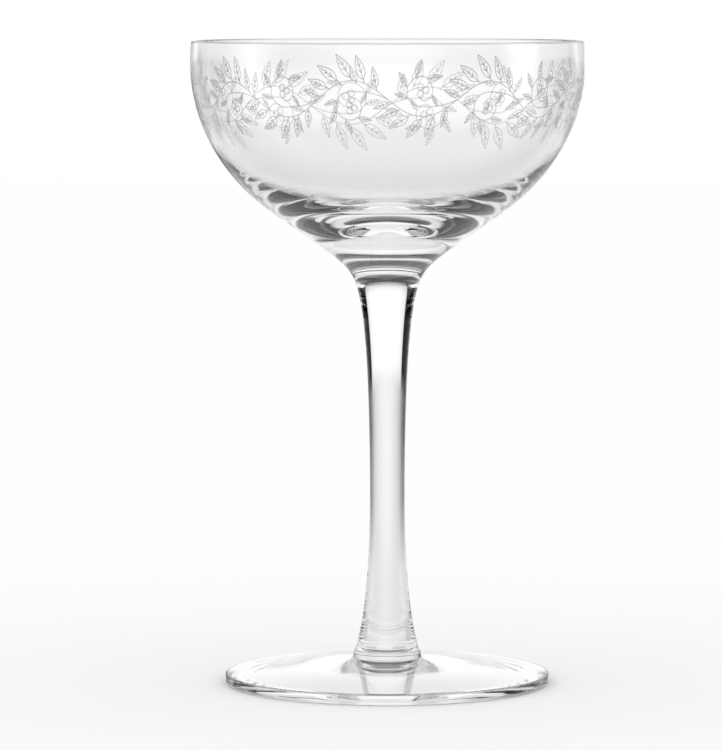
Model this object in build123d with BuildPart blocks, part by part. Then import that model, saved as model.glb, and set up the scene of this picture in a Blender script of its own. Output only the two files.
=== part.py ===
from build123d import *

import os
from math import asin, cos, degrees, radians, sin

# A stemmed cocktail glass in three pieces of clear glass that are fused end to end while hot:
# a blown bowl, a drawn stem and a pressed foot. Millimetres, +Z up, and the origin is the middle
# of the table plane under the foot. Every piece is turned about the Z axis from its half section.

# Foot
foot_diameter = 78.2
foot_height = 8.1  # table to the joint with the stem
foot_edge = 2.6  # thickness of the edge
edge_upper_round = 0.4  # radius of the edge's upper corner
edge_lower_round = 0.8  # radius of the edge's lower corner
foot_slope = 5.5  # degrees that the upper face falls where it meets the edge
foot_land = 3.0  # width of the flat ring that stands on the table
foot_hollow = 3.0  # rise of the hollow under the foot, at the middle

# Collar: the low bead of glass on top of the foot that the stem is set on
collar_diameter = 16.4  # at its lower edge
collar_height = 1.8
collar_shoulder = 53.0  # degrees off upright where it leaves the stem
collar_side = 6.0  # degrees off upright where it meets the foot

# Stem
stem_length = 90.9  # joint with the foot to joint with the bowl
stem_base_diameter = 15.3
stem_base_flare = 16.0  # degrees off upright at the joint with the foot
stem_waist_diameter = 8.44
stem_waist_rise = 35.9  # the slimmest place, above the joint with the foot
stem_top_diameter = 17.5
stem_top_flare = 30.0  # degrees off upright at the joint with the bowl

# Bowl: outside it is half an ellipse, inside it is fuller, so that a thin wall ends in a thick base
bowl_diameter = 94.7
bowl_depth = 44.6  # widest place to the lowest point of the outer ellipse
bowl_lip_rise = 5.0  # widest place to the rim
bowl_wall = 1.2  # at the widest place
bowl_base = 5.6  # lowest point of the outer ellipse to the lowest point inside
neck_height = 6.4  # joint with the stem to the lowest point of the outer ellipse
neck_start = 51.7  # degrees below the widest place at which the neck leaves the ellipse

# Shape of the free curves: how far each end runs on straight, as a share of the curve's span
collar_run = 0.35
foot_root_run = 0.03
foot_brim_run = 0.93
stem_base_run = 0.27
stem_waist_run_down = 0.33
stem_waist_run_up = 0.87
stem_top_run = 0.055
neck_bowl_run = 0.52
neck_stem_run = 0.17
inside_floor_run = 0.78  # as a share of the inner radius
inside_wall_run = 0.46  # as a share of the inner depth
lip_roundness = 0.45  # each corner of the rim is rounded by this share of the wall

# Levels and radii that follow from the sizes
stem_top_height = foot_height + stem_length
bowl_centre_height = stem_top_height + neck_height + bowl_depth
foot_radius = foot_diameter / 2
collar_radius = collar_diameter / 2
stem_base_radius = stem_base_diameter / 2
stem_waist_radius = stem_waist_diameter / 2
stem_top_radius = stem_top_diameter / 2
bowl_radius = bowl_diameter / 2
inner_radius = bowl_radius - bowl_wall
inner_depth = bowl_depth - bowl_base


def flowing_curve(start, start_direction, start_run, end, end_direction, end_run):
    """Control points of a curve that leaves start and reaches end along the given directions."""
    first = Vector(*start)
    last = Vector(*end)
    span = (last - first).length
    leaving = first + Vector(*start_direction).normalized() * start_run * span
    arriving = last - Vector(*end_direction).normalized() * end_run * span
    return first, leaving, arriving, last


def rising(angle):
    """Direction in the half section that points up and outward, by an angle off upright."""
    return sin(radians(angle)), cos(radians(angle))


def falling(angle):
    """Direction in the half section that points down and outward, by an angle off upright."""
    return sin(radians(angle)), -cos(radians(angle))


os.makedirs("parts", exist_ok=True)

stem_base_point = (stem_base_radius, foot_height)
stem_waist_point = (stem_waist_radius, foot_height + stem_waist_rise)
stem_top_point = (stem_top_radius, stem_top_height)
upright = (0, 1)

# Foot: the collar's bead, a tight root, a thin brim with a softened edge, and a hollow below
slope = radians(foot_slope)
collar_point = (collar_radius, foot_height - collar_height)
brim_end = (
    foot_radius - edge_upper_round * (1 - sin(slope)),
    foot_edge - edge_upper_round * (1 - cos(slope)),
)
land_end = foot_radius - edge_lower_round - foot_land
level_fall = falling(90 - foot_slope)

with BuildPart() as foot:
    with BuildSketch(Plane.XZ) as foot_section:
        with BuildLine() as foot_outline:
            foot_joint = Line((0, foot_height), stem_base_point)
            collar = Bezier(*flowing_curve(
                stem_base_point, falling(collar_shoulder), collar_run,
                collar_point, falling(collar_side), collar_run,
            ))
            brim = Bezier(*flowing_curve(
                collar_point, falling(collar_side), foot_root_run,
                brim_end, level_fall, foot_brim_run,
            ))
            upper_corner = JernArc(brim @ 1, brim % 1, edge_upper_round, -(90 - foot_slope))
            edge = Line(upper_corner @ 1, (foot_radius, edge_lower_round))
            lower_corner = JernArc(edge @ 1, edge % 1, edge_lower_round, -90)
            land = Line(lower_corner @ 1, (land_end, 0))
            hollow = TangentArc((0, foot_hollow), land @ 1, tangent=(1, 0))
            foot_axis = Line((0, foot_hollow), (0, foot_height))
        make_face()
    revolve(axis=Axis.Z)
foot.part.label = "foot"
export_step(foot.part, "parts/foot.step")

# Stem: slimmest below the middle, flaring to the foot and, in a long sweep, to the bowl
stem_base_fall = falling(stem_base_flare)

with BuildPart() as stem:
    with BuildSketch(Plane.XZ) as stem_section:
        with BuildLine() as stem_outline:
            stem_foot_end = Line((0, foot_height), stem_base_point)
            lower_sweep = Bezier(*flowing_curve(
                stem_base_point, (-stem_base_fall[0], -stem_base_fall[1]), stem_base_run,
                stem_waist_point, upright, stem_waist_run_down,
            ))
            upper_sweep = Bezier(*flowing_curve(
                stem_waist_point, upright, stem_waist_run_up,
                stem_top_point, rising(stem_top_flare), stem_top_run,
            ))
            stem_bowl_end = Line(stem_top_point, (0, stem_top_height))
            stem_axis = Line((0, stem_top_height), (0, foot_height))
        make_face()
    revolve(axis=Axis.Z)
stem.part.label = "stem"
export_step(stem.part, "parts/stem.step")

# Bowl: the outer ellipse leaves the rim, turns into the neck without a break and meets the stem
# on the stem's own slope, so that one line runs from rim to waist across the joint
bowl_centre = (0, bowl_centre_height)
bowl_floor = bowl_centre_height - inner_depth
rim_angle = degrees(asin(bowl_lip_rise / bowl_depth))

with BuildPart() as bowl:
    with BuildSketch(Plane.XZ) as bowl_section:
        with BuildLine() as bowl_outline:
            bowl_joint = Line((0, stem_top_height), stem_top_point)
            outside = EllipticalCenterArc(
                bowl_centre, bowl_radius, bowl_depth, -neck_start, arc_size=neck_start + rim_angle
            )
            neck_end = outside @ 0
            neck_direction = outside % 0
            neck = Bezier(*flowing_curve(
                stem_top_point, rising(stem_top_flare), neck_stem_run,
                (neck_end.X, neck_end.Y), (neck_direction.X, neck_direction.Y), neck_bowl_run,
            ))
            inside = Bezier(
                (0, bowl_floor),
                (inside_floor_run * inner_radius, bowl_floor),
                (inner_radius, bowl_centre_height - inside_wall_run * inner_depth),
                (inner_radius, bowl_centre_height),
            )
            rim_end = outside @ 1
            inside_lip = TangentArc(inside @ 1, (rim_end.X - bowl_wall, rim_end.Y), tangent=upright)
            rim = Line(outside @ 1, inside_lip @ 1)
            bowl_axis = Line((0, bowl_floor), (0, stem_top_height))
        make_face()
        fillet(bowl_section.vertices().group_by(Axis.Y)[-1], lip_roundness * bowl_wall)
    revolve(axis=Axis.Z)
bowl.part.label = "bowl"
export_step(bowl.part, "parts/bowl.step")
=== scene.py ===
import math

import bpy
from bpy.props import FloatProperty, FloatVectorProperty, IntProperty, PointerProperty
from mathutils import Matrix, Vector


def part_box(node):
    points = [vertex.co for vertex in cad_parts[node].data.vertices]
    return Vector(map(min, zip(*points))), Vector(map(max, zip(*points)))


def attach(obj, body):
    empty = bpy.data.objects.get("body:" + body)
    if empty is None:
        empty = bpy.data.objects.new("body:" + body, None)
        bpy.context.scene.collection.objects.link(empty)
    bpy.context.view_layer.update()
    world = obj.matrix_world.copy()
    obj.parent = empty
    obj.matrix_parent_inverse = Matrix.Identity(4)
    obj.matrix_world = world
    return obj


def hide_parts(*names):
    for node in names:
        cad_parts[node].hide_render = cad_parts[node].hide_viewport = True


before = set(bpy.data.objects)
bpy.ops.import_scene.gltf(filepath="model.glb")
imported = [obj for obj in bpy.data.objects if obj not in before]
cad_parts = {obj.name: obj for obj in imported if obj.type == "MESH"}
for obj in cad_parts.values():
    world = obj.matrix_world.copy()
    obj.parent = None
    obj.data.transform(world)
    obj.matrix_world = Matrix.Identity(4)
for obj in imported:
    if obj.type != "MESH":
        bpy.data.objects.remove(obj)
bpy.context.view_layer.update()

bl_info = {
    "name": "Etched cocktail glass",
    "version": (1, 0, 0),
    "blender": (4, 5, 0),
    "location": "View3D > Sidebar > Glass",
    "description": "Turns a stemmed cocktail glass in three fused pieces and etches a scroll round it",
    "category": "Add Mesh",
}

MM = 0.001

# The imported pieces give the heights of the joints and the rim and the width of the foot, so that the
# turned glass meets where they meet
foot_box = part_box("foot")
stem_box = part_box("stem")
bowl_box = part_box("bowl")

# Shape of the free curves: how far each end runs on straight, as a share of the curve's span
COLLAR_RUN = 0.35
FOOT_ROOT_RUN = 0.03
FOOT_BRIM_RUN = 0.93
STEM_BASE_RUN = 0.27
WAIST_RUN_DOWN = 0.33
WAIST_RUN_UP = 0.87
STEM_TOP_RUN = 0.055
NECK_STEM_RUN = 0.17
NECK_BOWL_RUN = 0.52
LIP_RUN = 1 / 3
QUARTER_RUN = 0.39  # for a quarter turn, at the rim and in the scroll
INSIDE_FLOOR_RUN = 0.78  # of the inner radius
INSIDE_WALL_RUN = 0.46  # of the inner depth

# Fineness of the meshes, and how near counts as touching
ROUND_STEPS = 192
OUTLINE_STEPS = 40  # in each piece of an outline
SCROLL_STEPS = 5  # in each piece of the scroll
SPINDLE = 1.0 * MM  # radius of the circle that an outline is carried round
CREASE = math.radians(35)  # an edge that bends more than this stays sharp
WELD = 0.001 * MM  # points nearer than this become one
JOINT_REACH = 0.01 * MM  # a face this near a joint's height lies in the joint

# Drawing of the scroll: angles in degrees, and runs as shares of a curve's span
VINE_RUN = 0.40
CREST_RUN = 0.36
CURL_ALONG = 0.53  # middle of the curl, as a share of a unit's length
CURL_DROP = 0.42  # middle of the curl below the middle of the band, as a share of the swing
CURL_TURNS = (90, 0, -90, -180)  # where its quarter turns begin and end
CURL_RADII = (0.84, 0.86, 0.80, 0.68)  # at those turns, as shares of the swing
BRANCH_LEAN = 10  # how much flatter than the vine the branch leaves it
BRANCH_START_RUN = 0.38
BRANCH_CREST_RUN = 0.42
BUNCH_SHIFT = 0.06  # of the berries to the left and down, as a share of the swing
BERRY_TURNS = (60, 180, 300)
BERRY_SPREAD = 1.2  # middle of the bunch to a berry's middle, in radii of a berry
GLINT_RADIUS = 0.5  # of the catch of light in a berry, in radii of the berry
GLINT_ARC = (100, 170)
BUNCH_STALK_TURN = 70  # place on the first berry where the branch ends
BUNCH_STALK_HEADING = -80
BUNCH_STALK_START_RUN = 0.60
BUNCH_STALK_END_RUN = 0.45

# Drawing of a leaf: places as shares of its length, and angles in degrees off its midrib
BLADE_START = 0.12
BLADE_START_ANGLE = 52
BLADE_START_RUN = 0.42
BLADE_TIP_ANGLE = 22
BLADE_TIP_RUN = 0.40
MIDRIB_END = 0.86
VEIN_PLACES = (0.38, 0.58)
VEIN_ANGLE = 38
VEIN_REACH = 0.2
VEIN_VANISH = 1.12  # the nearer to this place, the shorter the vein

# Surfaces
GLASS_IOR = 1.52  # soda-lime glass
FROST_GRAIN = 0.4 * MM
FROST_GRAIN_DEPTH = 0.02 * MM
PAPER_TOOTH = 1.0 * MM

# The studio that shows in the glass, by direction. Each pair is an angle in degrees and a brightness
# or a share. ROUND angles run from 0 behind the glass to 180 at the camera, the same to both sides,
# and the others run up from level.
STUDIO_STRENGTH = 1.08
STUDIO_TURN = 3.5  # of the whole studio about the glass
WALL_ROUND = (
    (0, 1.0), (24, 0.98), (31, 0.86), (35.5, 0.76), (37, 0.0), (73, 0.0), (83, 0.80), (97, 0.80),
    (107, 0.0), (140, 0.0), (160, 0.50),
)
WALL_HEIGHT = ((14, 1.0), (24, 0.75), (36, 0.30), (60, 0.08))
FAR_TABLE_ROUND = (
    (0, 0.86), (10, 0.84), (20, 0.75), (27, 0.64), (34, 0.48), (40, 0.31), (46, 0.20), (52, 0.11),
    (60, 0.04), (73, 0.04), (83, 0.84), (97, 0.84), (107, 0.04), (140, 0.08), (160, 0.90),
)
NEAR_TABLE_ROUND = ((0, 0.79), (20, 0.75), (40, 0.72), (60, 0.72), (80, 0.88), (100, 0.95))
NEAR_TABLE_SHARE = ((-13, 1.0), (-4, 0.0))  # of the near table, against the far one
WALL_SHARE = ((-1.9, 0.0), (-1.0, 1.0))  # of the wall, against the table

# Cards that show only as mirror images: a black one at the edges of the upper stem, a white one in the
# sides of the bowl and a grey one along its outline. Each pair is an angle and how much the card hides.
STEM_CARD_GREY = 0.0
STEM_CARD_ROUND = ((38, 0.0), (44, 1.0), (84, 1.0), (94, 0.0))
STEM_CARD_HEIGHT = ((-22, 0.0), (-18, 1.0), (-7.5, 1.0), (-6.5, 0.0))
BOWL_CARD_GREY = 1.0
BOWL_CARD_ROUND = ((26, 0.0), (34, 1.0), (94, 1.0), (110, 0.0))
BOWL_CARD_HEIGHT = ((-1.6, 0.0), (0.0, 0.35), (1.8, 1.0), (8, 1.0), (16, 0.0))
OUTLINE_CARD_GREY = 0.25
OUTLINE_CARD_ROUND = ((8, 0.0), (13, 1.0), (27, 1.0), (31, 0.0))
OUTLINE_CARD_HEIGHT = ((-12, 0.0), (-9, 1.0), (5, 1.0), (7, 0.0))

# Camera and light
SENSOR_WIDTH = 36.0  # millimetres, as the lens is
VIEW_REACH = 100.0  # metres
ALL_BOUNCES = 64
GLASS_BOUNCES = 32


def linear_colour(code):
    """Linear red, green and blue, with full alpha, of a colour written as an sRGB hex code."""
    shares = [int(code[start:start + 2], 16) / 255 for start in (1, 3, 5)]
    return [s / 12.92 if s <= 0.04045 else ((s + 0.055) / 1.055) ** 2.4 for s in shares] + [1.0]


def length(name, description, default):
    """A length property, in metres."""
    return FloatProperty(
        name=name, description=description, default=default, min=0.0, unit="LENGTH", precision=5
    )


def angle(name, description, degrees):
    """An angle property whose default is given in degrees."""
    return FloatProperty(
        name=name, description=description, default=math.radians(degrees), subtype="ANGLE"
    )


def colour(name, description, code):
    """A colour property whose default is an sRGB hex code."""
    return FloatVectorProperty(
        name=name, description=description, default=linear_colour(code),
        size=4, min=0.0, max=1.0, subtype="COLOR",
    )


class GlassSizes(bpy.types.PropertyGroup):
    """Sizes of the three turned pieces."""

    foot_diameter: length("Foot diameter", "Across the foot's round edge", 2 * foot_box[1].x)
    foot_height: length("Foot height", "Table to the joint with the stem", stem_box[0].z)
    foot_edge: length("Foot edge", "Thickness of the edge", 2.6 * MM)
    edge_upper_round: length("Upper corner", "Radius of the edge's upper corner", 0.4 * MM)
    edge_lower_round: length("Lower corner", "Radius of the edge's lower corner", 0.8 * MM)
    foot_slope: angle("Foot slope", "Fall of the upper face where it meets the edge", 5.5)
    foot_land: length("Foot land", "Width of the flat ring that stands on the table", 3.0 * MM)
    foot_hollow: length("Foot hollow", "Rise of the hollow under the foot", 3.0 * MM)
    collar_diameter: length("Collar diameter", "Across the bead that the stem is set on", 16.4 * MM)
    collar_height: length("Collar height", "Height of that bead", 1.8 * MM)
    collar_shoulder: angle("Collar shoulder", "Off upright where the bead leaves the stem", 53.0)
    collar_side: angle("Collar side", "Off upright where the bead meets the foot", 6.0)
    stem_base_diameter: length("Stem base", "Across the stem at the joint with the foot", 15.3 * MM)
    stem_base_flare: angle("Stem base flare", "Off upright at the joint with the foot", 16.0)
    stem_waist_diameter: length("Stem waist", "Across the slimmest place of the stem", 8.44 * MM)
    stem_waist_rise: length("Waist rise", "Joint with the foot to the slimmest place", 35.9 * MM)
    stem_top_diameter: length("Stem top", "Across the stem at the joint with the bowl", 17.5 * MM)
    stem_top_height: length("Stem top height", "Table to the joint with the bowl", stem_box[1].z)
    stem_top_flare: angle("Stem top flare", "Off upright at the joint with the bowl", 30.0)
    bowl_diameter: length("Bowl diameter", "Across the bowl's widest place", 94.7 * MM)
    bowl_depth: length("Bowl depth", "Widest place to the lowest point of the outer ellipse", 44.6 * MM)
    bowl_rim_height: length("Rim height", "Table to the rim", bowl_box[1].z)
    bowl_lip_rise: length("Lip rise", "Widest place to the rim", 5.0 * MM)
    bowl_lip_round: length("Lip rounding", "Height of the rounding at the rim", 0.54 * MM)
    bowl_wall: length("Wall", "Thickness at the widest place", 1.2 * MM)
    bowl_base: length("Base", "Lowest point of the outer ellipse to the lowest point inside", 5.6 * MM)
    neck_start: angle("Neck start", "Below the widest place where the neck leaves the ellipse", 51.7)


class EtchedBandSizes(bpy.types.PropertyGroup):
    """Sizes of the etched scroll."""

    units: IntProperty(
        name="Units", description="Half waves of the scroll round the bowl", default=16, min=2
    )
    height: length("Band height", "Table to the middle of the band", 140.5 * MM)
    swing: length("Swing", "How far the vine swings above and below the middle", 4.4 * MM)
    leaf_length: length("Leaf length", "Longest leaf, stalk to tip", 7.4 * MM)
    berry_radius: length("Berry radius", "Radius of one berry", 0.78 * MM)
    line_width: length("Line width", "Width of an etched line", 0.32 * MM)
    line_depth: length("Line depth", "Thickness of the frosted skin of a line", 0.06 * MM)
    turn: angle("Turn", "Turns the band round the bowl", 0.0)


class GlassFinish(bpy.types.PropertyGroup):
    """Colours and surface of the glass."""

    tint: colour("Glass tint", "Colour that the clear glass lets through", "#FEFEFE")
    frost_light: colour("Frost, light", "Lighter grains of an etched line", "#E4E6E7")
    frost_dark: colour("Frost, dark", "Darker grains of an etched line", "#C4C7C8")
    frost_cover: FloatProperty(
        name="Frost cover", description="How much of what lies behind an etched line it hides",
        default=0.24, min=0.0, max=1.0, subtype="FACTOR",
    )
    ripple: length("Ripple", "Height of the slow ripples that hot working leaves", 0.025 * MM)
    ripple_spacing: length("Ripple spacing", "Distance from ripple to ripple", 9.0 * MM)


class StudioSettings(bpy.types.PropertyGroup):
    """The floor and the camera."""

    floor_size: length("Floor size", "Side of the square floor", 6.0)
    paper: colour("Paper", "Colour of the floor", "#FFFFFF")
    paper_tooth: colour("Paper tooth", "Colour of the paper's hollows", "#FDFDFD")
    camera_distance: length("Camera distance", "Camera to the glass's axis, along the floor", 1.1464)
    camera_height: length("Camera height", "Camera above the floor", 168.01 * MM)
    camera_tilt: angle("Camera tilt", "How far the camera looks down", 4.6611)
    camera_pan: angle("Camera pan", "How far the camera looks to the left", 0.318)
    camera_lens: FloatProperty(
        name="Lens", description="Focal length in millimetres", default=229.08, unit="CAMERA"
    )


class CocktailGlass(bpy.types.PropertyGroup):
    """All the settings of the glass."""

    sizes: PointerProperty(type=GlassSizes)
    band: PointerProperty(type=EtchedBandSizes)
    finish: PointerProperty(type=GlassFinish)
    studio: PointerProperty(type=StudioSettings)


# Drawing: every outline is a list of cubic pieces, each of four points in a plane


def heading(degrees):
    """Direction in the drawing: 0 points to the right, which is outward from the axis, and 90 up."""
    return Vector((math.cos(math.radians(degrees)), math.sin(math.radians(degrees))))


def straight(start, end):
    """A straight run."""
    return start, start.lerp(end, 1 / 3), start.lerp(end, 2 / 3), end


def sweep(start, leaving, leaving_run, end, arriving, arriving_run):
    """A curve that leaves start and reaches end along the given headings."""
    span = (end - start).length
    first_handle = start + heading(leaving) * leaving_run * span
    last_handle = end - heading(arriving) * arriving_run * span
    return start, first_handle, last_handle, end


def arc(centre, across, up, first, last):
    """Part of an ellipse, a quarter turn at most, from one angle to another in degrees."""
    first = math.radians(first)
    last = math.radians(last)
    reach = 4 / 3 * math.tan((last - first) / 4)
    start = centre + Vector((across * math.cos(first), up * math.sin(first)))
    end = centre + Vector((across * math.cos(last), up * math.sin(last)))
    leaving = Vector((-across * math.sin(first), up * math.cos(first))) * reach
    arriving = Vector((-across * math.sin(last), up * math.cos(last))) * reach
    return start, start + leaving, end - arriving, end


def draw(curve, pieces):
    """Adds to a curve one spline through pieces that follow each other."""
    spline = curve.splines.new("BEZIER")
    spline.bezier_points.add(len(pieces))
    ends = [piece[0] for piece in pieces] + [pieces[-1][3]]
    befores = [ends[0]] + [piece[2] for piece in pieces]
    afters = [piece[1] for piece in pieces] + [ends[-1]]
    for point, end, before, after in zip(spline.bezier_points, ends, befores, afters):
        point.handle_left_type = "FREE"
        point.handle_right_type = "FREE"
        point.co = end.to_3d()
        point.handle_left = before.to_3d()
        point.handle_right = after.to_3d()


def new_curve(name, steps):
    """A curve object that the trees below work on, with so many steps in each piece."""
    curve = bpy.data.curves.new(name, "CURVE")
    curve.dimensions = "3D"
    curve.resolution_u = steps
    drawing = bpy.data.objects.new(name, curve)
    bpy.context.scene.collection.objects.link(drawing)
    return drawing


def foot_outline(sizes):
    """Half section of the foot: hollow, land, softened edge, brim and collar, from axis to axis."""
    slope = math.degrees(sizes.foot_slope)
    side = 90 + math.degrees(sizes.collar_side)
    shoulder = 90 + math.degrees(sizes.collar_shoulder)
    radius = sizes.foot_diameter / 2
    lower = sizes.edge_lower_round
    upper = sizes.edge_upper_round
    lower_corner = arc(Vector((radius - lower, lower)), lower, lower, -90, 0)
    upper_corner = arc(Vector((radius - upper, sizes.foot_edge - upper)), upper, upper, 0, 90 - slope)
    land = Vector((radius - lower - sizes.foot_land, 0))
    hollow_radius = (land.x ** 2 + sizes.foot_hollow ** 2) / (2 * sizes.foot_hollow)
    hollow_middle = Vector((0, sizes.foot_hollow - hollow_radius))
    hollow_end = math.degrees(math.acos(land.x / hollow_radius))
    collar = Vector((sizes.collar_diameter / 2, sizes.foot_height - sizes.collar_height))
    joint = Vector((sizes.stem_base_diameter / 2, sizes.foot_height))
    return [
        arc(hollow_middle, hollow_radius, hollow_radius, 90, hollow_end),
        straight(land, lower_corner[0]),
        lower_corner,
        straight(lower_corner[3], upper_corner[0]),
        upper_corner,
        sweep(upper_corner[3], 180 - slope, FOOT_BRIM_RUN, collar, side, FOOT_ROOT_RUN),
        sweep(collar, side, COLLAR_RUN, joint, shoulder, COLLAR_RUN),
        straight(joint, Vector((0, sizes.foot_height))),
    ]


def stem_outline(sizes):
    """Half section of the stem, slimmest below the middle, from joint to joint."""
    base = Vector((sizes.stem_base_diameter / 2, sizes.foot_height))
    waist = Vector((sizes.stem_waist_diameter / 2, sizes.foot_height + sizes.stem_waist_rise))
    top = Vector((sizes.stem_top_diameter / 2, sizes.stem_top_height))
    base_heading = 90 + math.degrees(sizes.stem_base_flare)
    top_heading = 90 - math.degrees(sizes.stem_top_flare)
    return [
        straight(Vector((0, sizes.foot_height)), base),
        sweep(base, base_heading, STEM_BASE_RUN, waist, 90, WAIST_RUN_DOWN),
        sweep(waist, 90, WAIST_RUN_UP, top, top_heading, STEM_TOP_RUN),
        straight(top, Vector((0, sizes.stem_top_height))),
    ]


def bowl_outline(sizes):
    """Half section of the bowl: neck and outer ellipse up to the rim, then down the fuller inside."""
    radius = sizes.bowl_diameter / 2
    depth = sizes.bowl_depth
    centre = Vector((0, sizes.bowl_rim_height - sizes.bowl_lip_rise))
    neck_start = -math.degrees(sizes.neck_start)
    lip_end = math.degrees(math.asin((sizes.bowl_lip_rise - sizes.bowl_lip_round) / depth))
    outside = arc(centre, radius, depth, neck_start, 0)
    lip_outside = arc(centre, radius, depth, 0, lip_end)
    neck_direction = outside[1] - outside[0]
    neck_heading = math.degrees(math.atan2(neck_direction.y, neck_direction.x))
    lip_direction = lip_outside[3] - lip_outside[2]
    lip_heading = math.degrees(math.atan2(lip_direction.y, lip_direction.x))
    rim = Vector((lip_outside[3].x - sizes.bowl_wall / 2, sizes.bowl_rim_height))
    lip_inside = lip_outside[3] - Vector((sizes.bowl_wall, 0))
    joint = Vector((sizes.stem_top_diameter / 2, sizes.stem_top_height))
    joint_heading = 90 - math.degrees(sizes.stem_top_flare)
    inner_radius = radius - sizes.bowl_wall
    inner_depth = depth - sizes.bowl_base
    wall = Vector((inner_radius, centre.y))
    floor = Vector((0, centre.y - inner_depth))
    return [
        straight(Vector((0, sizes.stem_top_height)), joint),
        sweep(joint, joint_heading, NECK_STEM_RUN, outside[0], neck_heading, NECK_BOWL_RUN),
        outside,
        lip_outside,
        sweep(lip_outside[3], lip_heading, QUARTER_RUN, rim, 180, QUARTER_RUN),
        sweep(rim, 180, QUARTER_RUN, lip_inside, lip_heading + 180, QUARTER_RUN),
        sweep(lip_inside, lip_heading + 180, LIP_RUN, wall, 270, LIP_RUN),
        (
            wall,
            wall - Vector((0, INSIDE_WALL_RUN * inner_depth)),
            floor + Vector((INSIDE_FLOOR_RUN * inner_radius, 0)),
            floor,
        ),
    ]


def place_on(piece, share):
    """Point of a curve piece at a share of its way, and the heading there in degrees."""
    points = list(piece)
    while len(points) > 2:
        points = [first.lerp(second, share) for first, second in zip(points, points[1:])]
    way = points[1] - points[0]
    return points[0].lerp(points[1], share), math.degrees(math.atan2(way.y, way.x))


def leaf_lines(stalk, direction, size):
    """A lance-shaped leaf on a short stalk, with its midrib and two pairs of veins."""
    tip = stalk + heading(direction) * size
    base = stalk.lerp(tip, BLADE_START)
    lines = [[straight(stalk, stalk.lerp(tip, MIDRIB_END))]]
    for side in (1, -1):
        leaving = direction + side * BLADE_START_ANGLE
        arriving = direction - side * BLADE_TIP_ANGLE
        lines.append([sweep(base, leaving, BLADE_START_RUN, tip, arriving, BLADE_TIP_RUN)])
        for place in VEIN_PLACES:
            root = stalk.lerp(tip, place)
            reach = size * VEIN_REACH * (VEIN_VANISH - place)
            lines.append([straight(root, root + heading(direction + side * VEIN_ANGLE) * reach)])
    return lines


def berry_lines(centre, radius):
    """One berry: a ring with a small catch of light."""
    quarters = [arc(centre, radius, radius, turn, turn + 90) for turn in (0, 90, 180, 270)]
    glint = radius * GLINT_RADIUS
    return [quarters, [arc(centre, glint, glint, *GLINT_ARC)]]


def scroll_lines(band, unit_length):
    """One half wave of the scroll: the vine, a branch that curls in under it, berries and leaves."""
    swing = band.swing
    crest = Vector((unit_length / 2, swing))
    slope = math.degrees(math.atan(math.pi * swing / unit_length))
    start = Vector((0, 0))
    end = Vector((unit_length, 0))
    rise = sweep(start, slope, VINE_RUN, crest, 0, CREST_RUN)
    fall = sweep(crest, 0, CREST_RUN, end, -slope, VINE_RUN)
    lines = [[rise, fall]]

    # The branch leaves the vine at the start and winds in, a quarter turn at a time, to its berries
    middle = Vector((unit_length * CURL_ALONG, -CURL_DROP * swing))
    radii = [swing * share for share in CURL_RADII]
    places = [middle + heading(turn) * radius for turn, radius in zip(CURL_TURNS, radii)]
    bunch = middle - Vector((BUNCH_SHIFT * swing, BUNCH_SHIFT * swing))
    berries = [bunch + heading(turn) * band.berry_radius * BERRY_SPREAD for turn in BERRY_TURNS]
    branch = [sweep(start, slope - BRANCH_LEAN, BRANCH_START_RUN, places[0], 0, BRANCH_CREST_RUN)]
    for turn, place, next_place in zip(CURL_TURNS, places, places[1:]):
        branch.append(sweep(place, turn - 90, QUARTER_RUN, next_place, turn - 180, QUARTER_RUN))
    berry_top = berries[0] + heading(BUNCH_STALK_TURN) * band.berry_radius
    branch.append(sweep(
        places[-1], 90, BUNCH_STALK_START_RUN, berry_top, BUNCH_STALK_HEADING, BUNCH_STALK_END_RUN
    ))
    lines.append(branch)
    for centre in berries:
        lines += berry_lines(centre, band.berry_radius)

    # Leaves stand off the vine's outer side, longest at the crest, and smaller ones off the curl. Each
    # has the piece it stands on, the share of that piece's way, its lean and its share of the longest
    leaves = (
        (rise, 0.30, 44, 0.74), (rise, 0.66, 50, 0.92), (rise, 0.98, 54, 1.00),
        (fall, 0.30, 52, 0.95), (fall, 0.62, 54, 0.84), (fall, 0.92, 58, 0.66),
        (branch[1], 0.72, 46, 0.50), (branch[2], 0.15, 46, 0.56), (branch[2], 0.72, 46, 0.60),
        (branch[3], 0.35, 46, 0.54), (branch[4], 0.12, 50, 0.42),
    )
    for piece, share, lean, size in leaves:
        stalk, way = place_on(piece, share)
        lines += leaf_lines(stalk, way + lean, band.leaf_length * size)
    return lines


# Node trees


def add_node(tree, kind, inputs=None, stops=None, **settings):
    """Adds a node with its settings; each input, by name or number, is a value or a node's output."""
    node = tree.nodes.new(kind)
    for name, value in settings.items():
        setattr(node, name, value)
    for socket, value in (inputs or {}).items():
        if isinstance(value, bpy.types.NodeSocket):
            tree.links.new(value, node.inputs[socket])
        else:
            node.inputs[socket].default_value = value
    if stops:
        elements = node.color_ramp.elements
        while len(elements) < len(stops):
            elements.new(1.0)
        for element, (position, grey) in zip(elements, stops):
            element.position = position
            element.color = (grey, grey, grey, 1.0)
    return node


def new_tree(name, sockets):
    """A geometry tree with the given inputs, which takes a drawing and gives geometry."""
    tree = bpy.data.node_groups.new(name, "GeometryNodeTree")
    tree.interface.new_socket("Drawing", in_out="INPUT", socket_type="NodeSocketGeometry")
    for socket, kind in sockets.items():
        tree.interface.new_socket(socket, in_out="INPUT", socket_type=kind)
    tree.interface.new_socket("Geometry", in_out="OUTPUT", socket_type="NodeSocketGeometry")
    return tree


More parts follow.
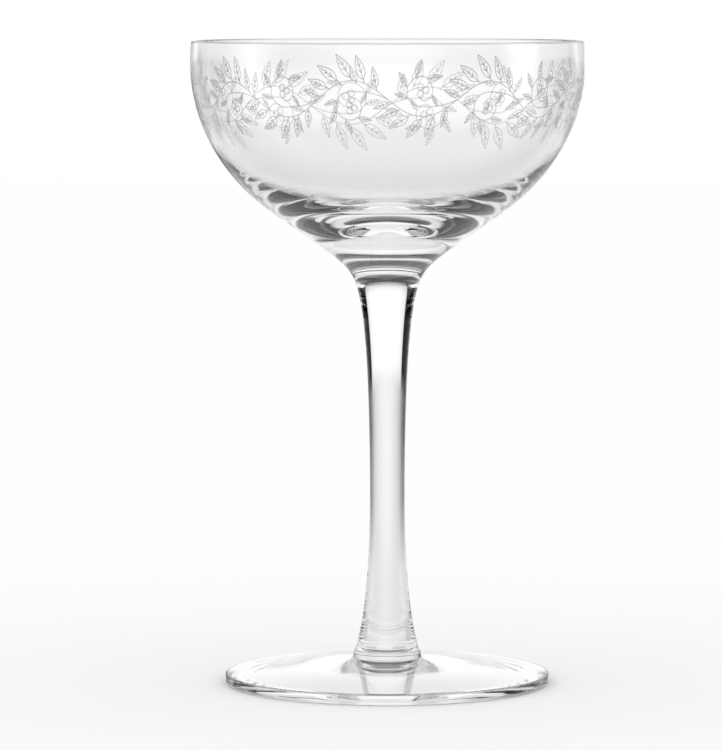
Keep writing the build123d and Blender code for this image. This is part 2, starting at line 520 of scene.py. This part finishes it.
def turning_tree():
    """Carries a half section round the Z axis and gives the faces at its joints their own material."""
    tree = new_tree("Turned glass", {
        "Steps": "NodeSocketInt",
        "Lower joint": "NodeSocketFloat",
        "Upper joint": "NodeSocketFloat",
        "Glass": "NodeSocketMaterial",
        "Joint": "NodeSocketMaterial",
    })
    given = add_node(tree, "NodeGroupInput").outputs
    # A circle carries its section with Y down, and its own radius is taken off the section first
    section = add_node(tree, "GeometryNodeTransform", {
        "Geometry": given["Drawing"], "Translation": (-SPINDLE, 0, 0), "Rotation": (math.pi, 0, 0),
    })
    circle = add_node(tree, "GeometryNodeCurvePrimitiveCircle", {
        "Resolution": given["Steps"], "Radius": SPINDLE,
    })
    turned = add_node(tree, "GeometryNodeCurveToMesh", {
        "Curve": circle.outputs["Curve"], "Profile Curve": section.outputs["Geometry"],
    })
    closed = add_node(tree, "GeometryNodeMergeByDistance", {
        "Geometry": turned.outputs["Mesh"], "Distance": WELD,
    })
    outward = add_node(tree, "GeometryNodeFlipFaces", {"Mesh": closed.outputs["Geometry"]})
    smooth = add_node(tree, "GeometryNodeSetShadeSmooth", {
        "Geometry": outward.outputs["Mesh"],
    }, domain="FACE")
    bend = add_node(tree, "GeometryNodeInputMeshEdgeAngle")
    sharp = add_node(tree, "FunctionNodeCompare", {
        0: bend.outputs["Unsigned Angle"], 1: CREASE,
    }, operation="GREATER_THAN")
    creased = add_node(tree, "GeometryNodeSetShadeSmooth", {
        "Geometry": smooth.outputs["Geometry"], "Selection": sharp.outputs["Result"],
        "Shade Smooth": False,
    }, domain="EDGE")
    place = add_node(tree, "GeometryNodeInputPosition")
    height = add_node(tree, "ShaderNodeSeparateXYZ", {"Vector": place.outputs["Position"]}).outputs["Z"]
    at_lower = add_node(tree, "FunctionNodeCompare", {
        0: height, 1: given["Lower joint"], "Epsilon": JOINT_REACH,
    }, operation="EQUAL")
    at_upper = add_node(tree, "FunctionNodeCompare", {
        0: height, 1: given["Upper joint"], "Epsilon": JOINT_REACH,
    }, operation="EQUAL")
    at_joint = add_node(tree, "FunctionNodeBooleanMath", {
        0: at_lower.outputs["Result"], 1: at_upper.outputs["Result"],
    }, operation="OR")
    real = add_node(tree, "GeometryNodeRealizeInstances", {"Geometry": creased.outputs["Geometry"]})
    glazed = add_node(tree, "GeometryNodeSetMaterial", {
        "Geometry": real.outputs["Geometry"], "Material": given["Glass"],
    })
    fused = add_node(tree, "GeometryNodeSetMaterial", {
        "Geometry": glazed.outputs["Geometry"], "Selection": at_joint.outputs["Boolean"],
        "Material": given["Joint"],
    })
    add_node(tree, "NodeGroupOutput", {"Geometry": fused.outputs["Geometry"]})
    return tree


def etching_tree():
    """Gives a flat drawing's lines their width, repeats it, every other one turned, and wraps it."""
    tree = new_tree("Etched band", {
        "Units": "NodeSocketInt",
        "Unit length": "NodeSocketFloat",
        "Line width": "NodeSocketFloat",
        "Line depth": "NodeSocketFloat",
        "Bowl radius": "NodeSocketFloat",
        "Bowl depth": "NodeSocketFloat",
        "Bowl centre": "NodeSocketFloat",
        "Band height": "NodeSocketFloat",
        "Turn": "NodeSocketFloat",
        "Frost": "NodeSocketMaterial",
    })
    given = add_node(tree, "NodeGroupInput").outputs
    stroke = add_node(tree, "GeometryNodeCurvePrimitiveQuadrilateral", {
        "Width": given["Line width"], "Height": given["Line depth"],
    })
    unit = add_node(tree, "GeometryNodeCurveToMesh", {
        "Curve": given["Drawing"], "Profile Curve": stroke.outputs["Curve"], "Fill Caps": True,
    })
    spacing = add_node(tree, "ShaderNodeCombineXYZ", {"X": given["Unit length"]})
    row = add_node(tree, "GeometryNodeMeshLine", {
        "Count": given["Units"], "Offset": spacing.outputs["Vector"],
    })
    number = add_node(tree, "GeometryNodeInputIndex")
    odd = add_node(tree, "ShaderNodeMath", {0: number.outputs["Index"], 1: 2.0}, operation="MODULO")
    half_turn = add_node(tree, "ShaderNodeMath", {
        0: odd.outputs["Value"], 1: math.pi,
    }, operation="MULTIPLY")
    flip = add_node(tree, "ShaderNodeCombineXYZ", {"X": half_turn.outputs["Value"]})
    repeated = add_node(tree, "GeometryNodeInstanceOnPoints", {
        "Points": row.outputs["Mesh"], "Instance": unit.outputs["Mesh"],
        "Rotation": flip.outputs["Vector"],
    })
    flat = add_node(tree, "GeometryNodeRealizeInstances", {"Geometry": repeated.outputs["Instances"]})

    # The way along the row becomes the way round, and the radius follows the bowl's outer ellipse
    place = add_node(tree, "GeometryNodeInputPosition")
    along = add_node(tree, "ShaderNodeSeparateXYZ", {"Vector": place.outputs["Position"]}).outputs
    way = add_node(tree, "ShaderNodeMath", {0: along["X"], 1: given["Bowl radius"]}, operation="DIVIDE")
    round_angle = add_node(tree, "ShaderNodeMath", {0: way.outputs["Value"], 1: given["Turn"]})
    height = add_node(tree, "ShaderNodeMath", {0: along["Y"], 1: given["Band height"]})
    above = add_node(tree, "ShaderNodeMath", {
        0: height.outputs["Value"], 1: given["Bowl centre"],
    }, operation="SUBTRACT")
    share = add_node(tree, "ShaderNodeMath", {
        0: above.outputs["Value"], 1: given["Bowl depth"],
    }, operation="DIVIDE")
    squared = add_node(tree, "ShaderNodeMath", {0: share.outputs["Value"], 1: 2.0}, operation="POWER")
    left = add_node(tree, "ShaderNodeMath", {0: 1.0, 1: squared.outputs["Value"]}, operation="SUBTRACT")
    narrowing = add_node(tree, "ShaderNodeMath", {0: left.outputs["Value"]}, operation="SQRT")
    radius = add_node(tree, "ShaderNodeMath", {
        0: narrowing.outputs["Value"], 1: given["Bowl radius"], 2: along["Z"],
    }, operation="MULTIPLY_ADD")
    cosine = add_node(tree, "ShaderNodeMath", {0: round_angle.outputs["Value"]}, operation="COSINE")
    sine = add_node(tree, "ShaderNodeMath", {0: round_angle.outputs["Value"]}, operation="SINE")
    out_x = add_node(tree, "ShaderNodeMath", {
        0: radius.outputs["Value"], 1: cosine.outputs["Value"],
    }, operation="MULTIPLY")
    out_y = add_node(tree, "ShaderNodeMath", {
        0: radius.outputs["Value"], 1: sine.outputs["Value"],
    }, operation="MULTIPLY")
    wrapped = add_node(tree, "ShaderNodeCombineXYZ", {
        "X": out_x.outputs["Value"], "Y": out_y.outputs["Value"], "Z": height.outputs["Value"],
    })
    placed = add_node(tree, "GeometryNodeSetPosition", {
        "Geometry": flat.outputs["Geometry"], "Position": wrapped.outputs["Vector"],
    })
    frosted = add_node(tree, "GeometryNodeSetMaterial", {
        "Geometry": placed.outputs["Geometry"], "Material": given["Frost"],
    })
    add_node(tree, "NodeGroupOutput", {"Geometry": frosted.outputs["Geometry"]})
    return tree


def make_piece(name, drawing, tree, values):
    """Runs a tree on a drawing and keeps the result as a plain mesh, without the drawing."""
    modifier = drawing.modifiers.new(tree.name, "NODES")
    modifier.node_group = tree
    for socket in tree.interface.items_tree:
        if socket.in_out == "INPUT" and socket.name in values:
            modifier[socket.identifier] = values[socket.name]
    depsgraph = bpy.context.evaluated_depsgraph_get()
    mesh = bpy.data.meshes.new_from_object(drawing.evaluated_get(depsgraph))
    if not mesh.polygons:
        raise RuntimeError(f"the tree {tree.name} gave no faces for {name}")
    mesh.name = name
    # Empty material slots go, so that only the tree's own materials are left
    for index in reversed(range(len(mesh.materials))):
        if mesh.materials[index] is None:
            mesh.materials.pop(index=index)
    piece = bpy.data.objects.new(name, mesh)
    bpy.context.scene.collection.objects.link(piece)
    bpy.data.curves.remove(drawing.data)
    return piece


def turn_piece(name, node, pieces, joints):
    """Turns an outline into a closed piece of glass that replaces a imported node."""
    finish = bpy.context.scene.cocktail_glass.finish
    drawing = new_curve(name + "_outline", OUTLINE_STEPS)
    draw(drawing.data, pieces)
    tree = bpy.data.node_groups.get("Turned glass") or turning_tree()
    piece = make_piece(name, drawing, tree, {
        "Steps": ROUND_STEPS,
        "Lower joint": joints[0],
        "Upper joint": joints[1],
        "Glass": bpy.data.materials.get("Blown clear glass") or blown_glass(finish),
        "Joint": bpy.data.materials.get("Fused joint") or fused_joint(),
    })
    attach(piece, "root")
    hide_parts(node)


# Materials


def new_material(name):
    """An empty node material."""
    material = bpy.data.materials.new(name)
    material.use_nodes = True
    material.node_tree.nodes.clear()
    return material


def blown_glass(finish):
    """Clear soda-lime glass, worked hot: mirror smooth, with slow ripples that bend the view."""
    material = new_material("Blown clear glass")
    tree = material.node_tree
    place = add_node(tree, "ShaderNodeTexCoord")
    ripples = add_node(tree, "ShaderNodeTexNoise", {
        "Vector": place.outputs["Object"], "Scale": 1 / finish.ripple_spacing,
        "Detail": 1.0, "Roughness": 0.35,
    })
    surface = add_node(tree, "ShaderNodeBump", {
        "Height": ripples.outputs["Fac"], "Strength": 1.0, "Distance": finish.ripple,
    })
    glass = add_node(tree, "ShaderNodeBsdfPrincipled", {
        "Base Color": finish.tint, "Roughness": 0.0, "IOR": GLASS_IOR, "Transmission Weight": 1.0,
        "Normal": surface.outputs["Normal"],
    })
    add_node(tree, "ShaderNodeOutputMaterial", {"Surface": glass.outputs["BSDF"]})
    return material


def fused_joint():
    """Glass melted into glass: nothing is left there to see, so light goes straight through."""
    material = new_material("Fused joint")
    tree = material.node_tree
    clear = add_node(tree, "ShaderNodeBsdfTransparent")
    add_node(tree, "ShaderNodeOutputMaterial", {"Surface": clear.outputs["BSDF"]})
    return material


def etched_frost(finish):
    """Glass bitten by acid: a thin matt grain, half see-through, that greys against a bright ground."""
    material = new_material("Acid-etched frost")
    tree = material.node_tree
    place = add_node(tree, "ShaderNodeTexCoord")
    # The real grain is a few hundredths of a millimetre, and is drawn coarser so that it shows
    grain = add_node(tree, "ShaderNodeTexNoise", {
        "Vector": place.outputs["Object"], "Scale": 1 / FROST_GRAIN, "Detail": 2.0, "Roughness": 0.6,
    })
    # Inputs 0, 6 and 7 of a mix of colours are its factor and the two colours
    greys = add_node(tree, "ShaderNodeMix", {
        0: grain.outputs["Fac"], 6: finish.frost_dark, 7: finish.frost_light,
    }, data_type="RGBA")
    surface = add_node(tree, "ShaderNodeBump", {
        "Height": grain.outputs["Fac"], "Strength": 0.4, "Distance": FROST_GRAIN_DEPTH,
    })
    frost = add_node(tree, "ShaderNodeBsdfPrincipled", {
        "Base Color": greys.outputs[2], "Roughness": 0.85, "IOR": GLASS_IOR,
        "Alpha": finish.frost_cover, "Normal": surface.outputs["Normal"],
    })
    add_node(tree, "ShaderNodeOutputMaterial", {"Surface": frost.outputs["BSDF"]})
    return material


def paper_floor(studio):
    """Seamless white paper: matt, with a faint tooth."""
    material = new_material("Seamless paper")
    tree = material.node_tree
    place = add_node(tree, "ShaderNodeTexCoord")
    # The real tooth is near 0.1 mm, and is drawn coarser so that it shows
    tooth = add_node(tree, "ShaderNodeTexNoise", {
        "Vector": place.outputs["Object"], "Scale": 1 / PAPER_TOOTH, "Detail": 2.0,
    })
    shade = add_node(tree, "ShaderNodeMix", {
        0: tooth.outputs["Fac"], 6: studio.paper, 7: studio.paper_tooth,
    }, data_type="RGBA")
    paper = add_node(tree, "ShaderNodeBsdfDiffuse", {"Color": shade.outputs[2]})
    add_node(tree, "ShaderNodeOutputMaterial", {"Surface": paper.outputs["BSDF"]})
    return material


def studio_world():
    """Plain white to the camera and on the floor, while the glass shows a studio drawn by direction."""
    world = bpy.data.worlds.new("Studio")
    world.use_nodes = True
    tree = world.node_tree
    tree.nodes.clear()

    # The way round the glass, 0 behind it and 1 at the camera, and the way up, 0 below and 1 above
    view = add_node(tree, "ShaderNodeTexCoord")
    turned = add_node(tree, "ShaderNodeMapping", {
        "Vector": view.outputs["Generated"], "Rotation": (0, 0, math.radians(STUDIO_TURN)),
    })
    way = add_node(tree, "ShaderNodeSeparateXYZ", {"Vector": turned.outputs["Vector"]}).outputs
    aside = add_node(tree, "ShaderNodeMath", {0: way["X"]}, operation="ABSOLUTE")
    around = add_node(tree, "ShaderNodeMath", {
        0: aside.outputs["Value"], 1: way["Y"],
    }, operation="ARCTAN2")
    turn = add_node(tree, "ShaderNodeMath", {
        0: around.outputs["Value"], 1: math.pi,
    }, operation="DIVIDE")
    lift = add_node(tree, "ShaderNodeMath", {0: way["Z"]}, operation="ARCSINE")
    rise = add_node(tree, "ShaderNodeMapRange", {
        "Value": lift.outputs["Value"], "From Min": -math.pi / 2, "From Max": math.pi / 2,
    })
    round_stops = {
        "wall": WALL_ROUND,
        "far table": FAR_TABLE_ROUND,
        "near table": NEAR_TABLE_ROUND,
        "stem card": STEM_CARD_ROUND,
        "bowl card": BOWL_CARD_ROUND,
        "outline card": OUTLINE_CARD_ROUND,
    }
    by_turn = {}
    for name, stops in round_stops.items():
        ramp = add_node(tree, "ShaderNodeValToRGB", {"Fac": turn.outputs["Value"]}, [
            (degrees / 180, grey) for degrees, grey in stops
        ])
        by_turn[name] = ramp.outputs["Color"]
    height_stops = {
        "wall": WALL_HEIGHT,
        "near table share": NEAR_TABLE_SHARE,
        "wall share": WALL_SHARE,
        "stem card": STEM_CARD_HEIGHT,
        "bowl card": BOWL_CARD_HEIGHT,
        "outline card": OUTLINE_CARD_HEIGHT,
    }
    by_rise = {}
    for name, stops in height_stops.items():
        ramp = add_node(tree, "ShaderNodeValToRGB", {"Fac": rise.outputs["Result"]}, [
            (0.5 + degrees / 180, grey) for degrees, grey in stops
        ])
        by_rise[name] = ramp.outputs["Color"]

    # The wall stands over the table. Inputs 0, 2 and 3 of a mix are its factor and the two values
    wall = add_node(tree, "ShaderNodeMath", {
        0: by_turn["wall"], 1: by_rise["wall"],
    }, operation="MULTIPLY")
    table = add_node(tree, "ShaderNodeMix", {
        0: by_rise["near table share"], 2: by_turn["far table"], 3: by_turn["near table"],
    })
    studio = add_node(tree, "ShaderNodeMix", {
        0: by_rise["wall share"], 2: table.outputs[0], 3: wall.outputs["Value"],
    })

    # A card hides the studio in mirror images alone, and nothing of what is seen through the glass
    path = add_node(tree, "ShaderNodeLightPath")
    shown = studio.outputs[0]
    card_greys = {
        "stem card": STEM_CARD_GREY,
        "bowl card": BOWL_CARD_GREY,
        "outline card": OUTLINE_CARD_GREY,
    }
    for card, grey in card_greys.items():
        cover = add_node(tree, "ShaderNodeMath", {
            0: by_turn[card], 1: by_rise[card],
        }, operation="MULTIPLY")
        mirrored = add_node(tree, "ShaderNodeMath", {
            0: cover.outputs["Value"], 1: path.outputs["Is Reflection Ray"],
        }, operation="MULTIPLY")
        hidden = add_node(tree, "ShaderNodeMix", {0: mirrored.outputs["Value"], 2: shown, 3: grey})
        shown = hidden.outputs[0]

    seen = add_node(tree, "ShaderNodeBackground", {"Color": shown, "Strength": STUDIO_STRENGTH})
    plain = add_node(tree, "ShaderNodeBackground", {"Color": linear_colour("#FFFFFF"), "Strength": 1.0})
    direct = add_node(tree, "ShaderNodeMath", {
        0: path.outputs["Is Camera Ray"], 1: path.outputs["Is Diffuse Ray"],
    }, operation="MAXIMUM")
    both = add_node(tree, "ShaderNodeMixShader", {
        0: direct.outputs["Value"], 1: seen.outputs["Background"], 2: plain.outputs["Background"],
    })
    add_node(tree, "ShaderNodeOutputWorld", {"Surface": both.outputs["Shader"]})
    return world


# Operators and panel


class GLASS_OT_turn_foot(bpy.types.Operator):
    """Turns the pressed foot"""

    bl_idname = "glass.turn_foot"
    bl_label = "Turn foot"

    def execute(self, context):
        sizes = context.scene.cocktail_glass.sizes
        joints = (sizes.foot_height, sizes.foot_height)
        turn_piece("foot_glass", "foot", foot_outline(sizes), joints)
        return {"FINISHED"}


class GLASS_OT_turn_stem(bpy.types.Operator):
    """Turns the drawn stem"""

    bl_idname = "glass.turn_stem"
    bl_label = "Turn stem"

    def execute(self, context):
        sizes = context.scene.cocktail_glass.sizes
        joints = (sizes.foot_height, sizes.stem_top_height)
        turn_piece("stem_glass", "stem", stem_outline(sizes), joints)
        return {"FINISHED"}


class GLASS_OT_turn_bowl(bpy.types.Operator):
    """Turns the blown bowl"""

    bl_idname = "glass.turn_bowl"
    bl_label = "Turn bowl"

    def execute(self, context):
        sizes = context.scene.cocktail_glass.sizes
        joints = (sizes.stem_top_height, sizes.stem_top_height)
        turn_piece("bowl_glass", "bowl", bowl_outline(sizes), joints)
        return {"FINISHED"}


class GLASS_OT_etch_band(bpy.types.Operator):
    """Etches the leafy scroll round the bowl"""

    bl_idname = "glass.etch_band"
    bl_label = "Etch band"

    def execute(self, context):
        settings = context.scene.cocktail_glass
        sizes = settings.sizes
        band = settings.band
        radius = sizes.bowl_diameter / 2
        unit_length = 2 * math.pi * radius / band.units
        drawing = new_curve("scroll_drawing", SCROLL_STEPS)
        for line in scroll_lines(band, unit_length):
            draw(drawing.data, line)
        piece = make_piece("bowl_etching", drawing, etching_tree(), {
            "Units": band.units,
            "Unit length": unit_length,
            "Line width": band.line_width,
            "Line depth": band.line_depth,
            "Bowl radius": radius,
            "Bowl depth": sizes.bowl_depth,
            "Bowl centre": sizes.bowl_rim_height - sizes.bowl_lip_rise,
            "Band height": band.height,
            "Turn": band.turn,
            "Frost": etched_frost(settings.finish),
        })
        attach(piece, "root")
        return {"FINISHED"}


class GLASS_OT_set_stage(bpy.types.Operator):
    """Lays the floor, lights the studio and places the camera"""

    bl_idname = "glass.set_stage"
    bl_label = "Set stage"

    def execute(self, context):
        scene = context.scene
        studio = scene.cocktail_glass.studio
        half = studio.floor_size / 2
        mesh = bpy.data.meshes.new("floor")
        corners = [(-half, -half, 0), (half, -half, 0), (half, half, 0), (-half, half, 0)]
        mesh.from_pydata(corners, [], [(0, 1, 2, 3)])
        mesh.materials.append(paper_floor(studio))
        floor = bpy.data.objects.new("floor", mesh)
        scene.collection.objects.link(floor)
        # Through the glass and mirrored in it the studio's own table is seen instead
        floor.visible_glossy = False
        floor.visible_transmission = False
        scene.world = studio_world()
        # Never sampled as a lamp, so that the floor and the frost meet its plain white alone
        scene.world.cycles.sampling_method = "NONE"

        lens = bpy.data.cameras.new("camera")
        lens.lens = studio.camera_lens
        lens.sensor_width = SENSOR_WIDTH
        lens.clip_end = VIEW_REACH
        camera = bpy.data.objects.new("camera", lens)
        camera.location = (0, -studio.camera_distance, studio.camera_height)
        camera.rotation_euler = (math.pi / 2 - studio.camera_tilt, 0, studio.camera_pan)
        scene.collection.objects.link(camera)
        scene.camera = camera

        # Light crosses many walls of thick glass before it leaves
        scene.cycles.max_bounces = ALL_BOUNCES
        scene.cycles.glossy_bounces = GLASS_BOUNCES
        scene.cycles.transmission_bounces = GLASS_BOUNCES
        scene.cycles.transparent_max_bounces = GLASS_BOUNCES
        scene.view_settings.view_transform = "Standard"
        return {"FINISHED"}


class GLASS_PT_pieces(bpy.types.Panel):
    """Lists the pieces of the glass and their sizes"""

    bl_label = "Etched cocktail glass"
    bl_space_type = "VIEW_3D"
    bl_region_type = "UI"
    bl_category = "Glass"

    def draw(self, context):
        settings = context.scene.cocktail_glass
        for operator in OPERATORS:
            self.layout.operator(operator.bl_idname)
        for group in (settings.sizes, settings.band, settings.finish, settings.studio):
            column = self.layout.column()
            for name in group.__annotations__:
                column.prop(group, name)


GROUPS = (GlassSizes, EtchedBandSizes, GlassFinish, StudioSettings, CocktailGlass)
OPERATORS = (
    GLASS_OT_turn_foot, GLASS_OT_turn_stem, GLASS_OT_turn_bowl, GLASS_OT_etch_band, GLASS_OT_set_stage,
)
CLASSES = GROUPS + OPERATORS + (GLASS_PT_pieces,)


def register():
    for item in CLASSES:
        bpy.utils.register_class(item)
    bpy.types.Scene.cocktail_glass = PointerProperty(type=CocktailGlass)


def unregister():
    del bpy.types.Scene.cocktail_glass
    for item in reversed(CLASSES):
        bpy.utils.unregister_class(item)


def main():
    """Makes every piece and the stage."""
    register()
    bpy.ops.glass.turn_foot()
    bpy.ops.glass.turn_stem()
    bpy.ops.glass.turn_bowl()
    bpy.ops.glass.etch_band()
    bpy.ops.glass.set_stage()


if __name__ == "__main__":
    main()
